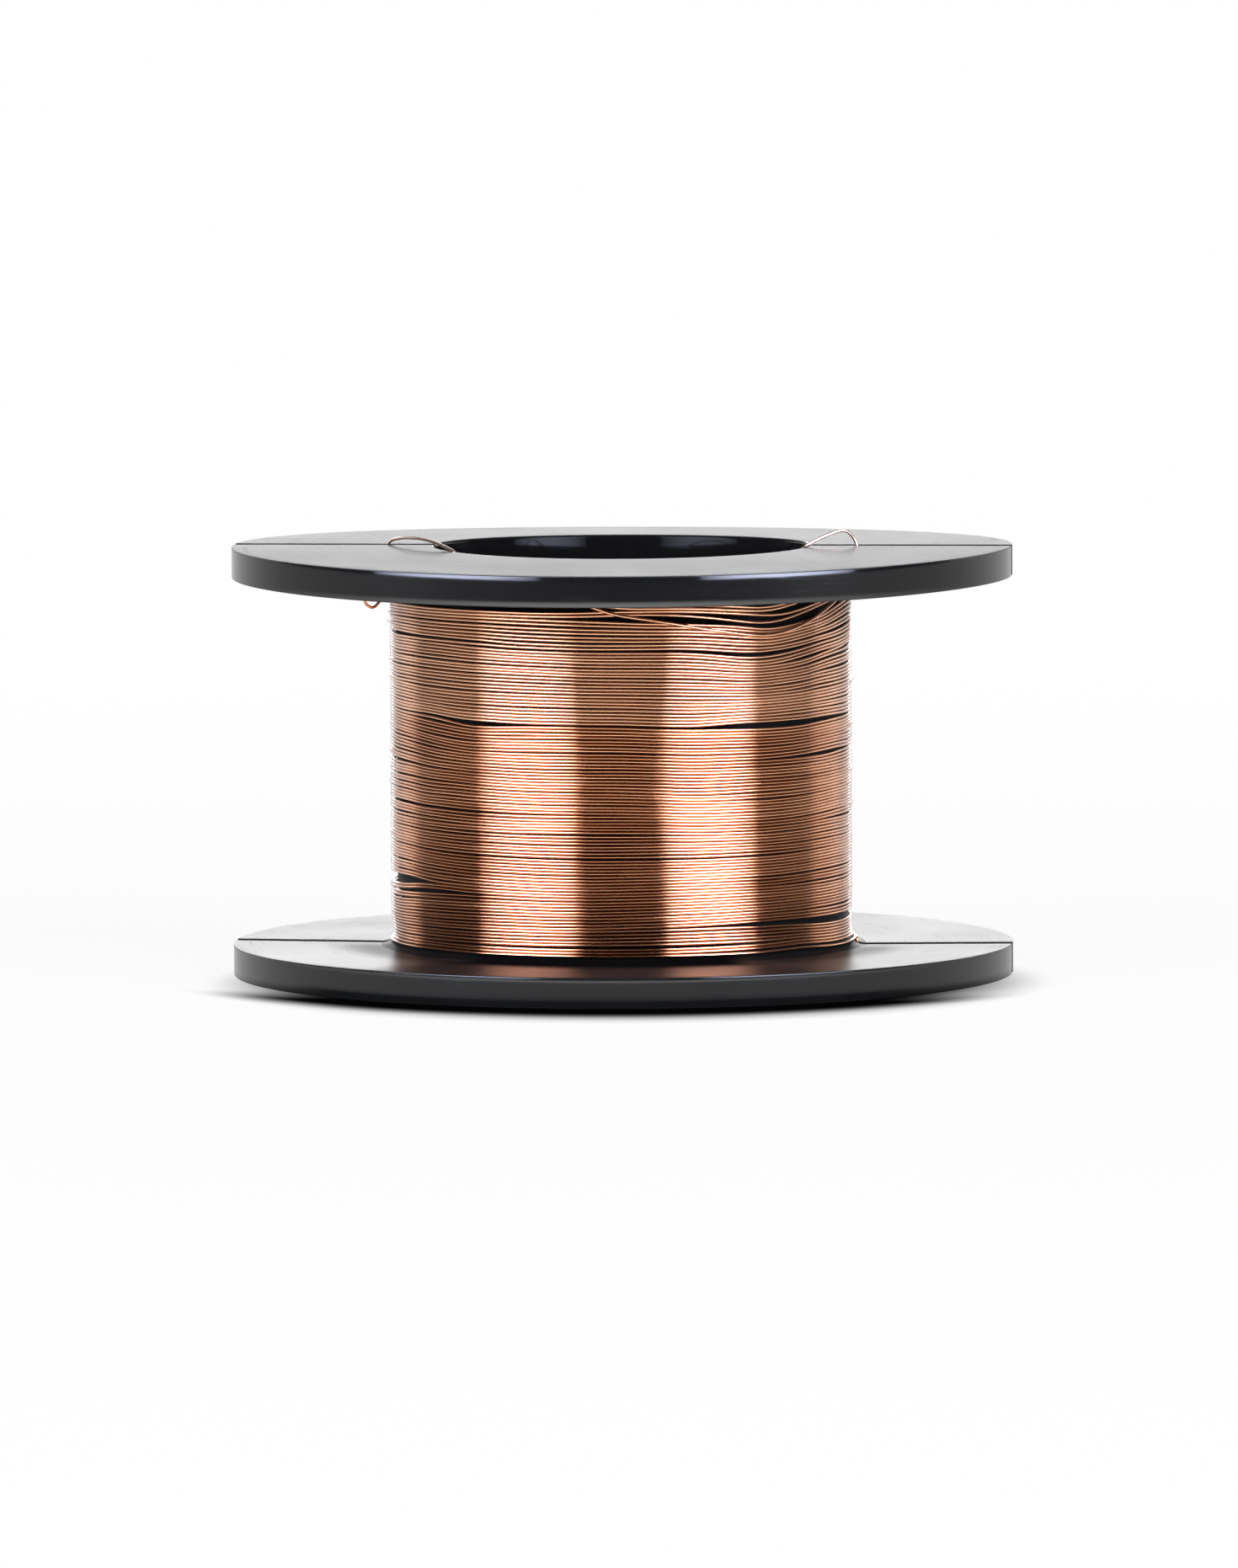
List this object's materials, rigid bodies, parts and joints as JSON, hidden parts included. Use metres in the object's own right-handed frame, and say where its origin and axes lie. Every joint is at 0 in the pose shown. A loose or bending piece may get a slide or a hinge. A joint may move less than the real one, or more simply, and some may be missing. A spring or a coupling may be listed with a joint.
{
  "type": "wire spool",
  "caption": "Small flanged spool moulded in two halves, with a wide spindle bore, wound with a single layer of fine enamelled copper wire whose end crosses the upper flange.",
  "frame": {"origin": "on the spool axis, in the outer face of the lower flange", "axes": "+Z along the spool axis towards the upper flange, +X along the seam between the two halves towards the slit where the wire ends, -Y towards the front half"},
  "size_m": [0.028, 0.028, 0.016],
  "materials": {
    "black_moulding": "glossy moulded black plastic",
    "copper_wire": "drawn copper under clear enamel"
  },
  "bodies": {
    "root": {"front_half": "black_moulding", "rear_half": "black_moulding", "close_turns": "copper_wire", "outer_turns": "copper_wire", "wire_tail": "copper_wire"}
  },
  "joints": []
}
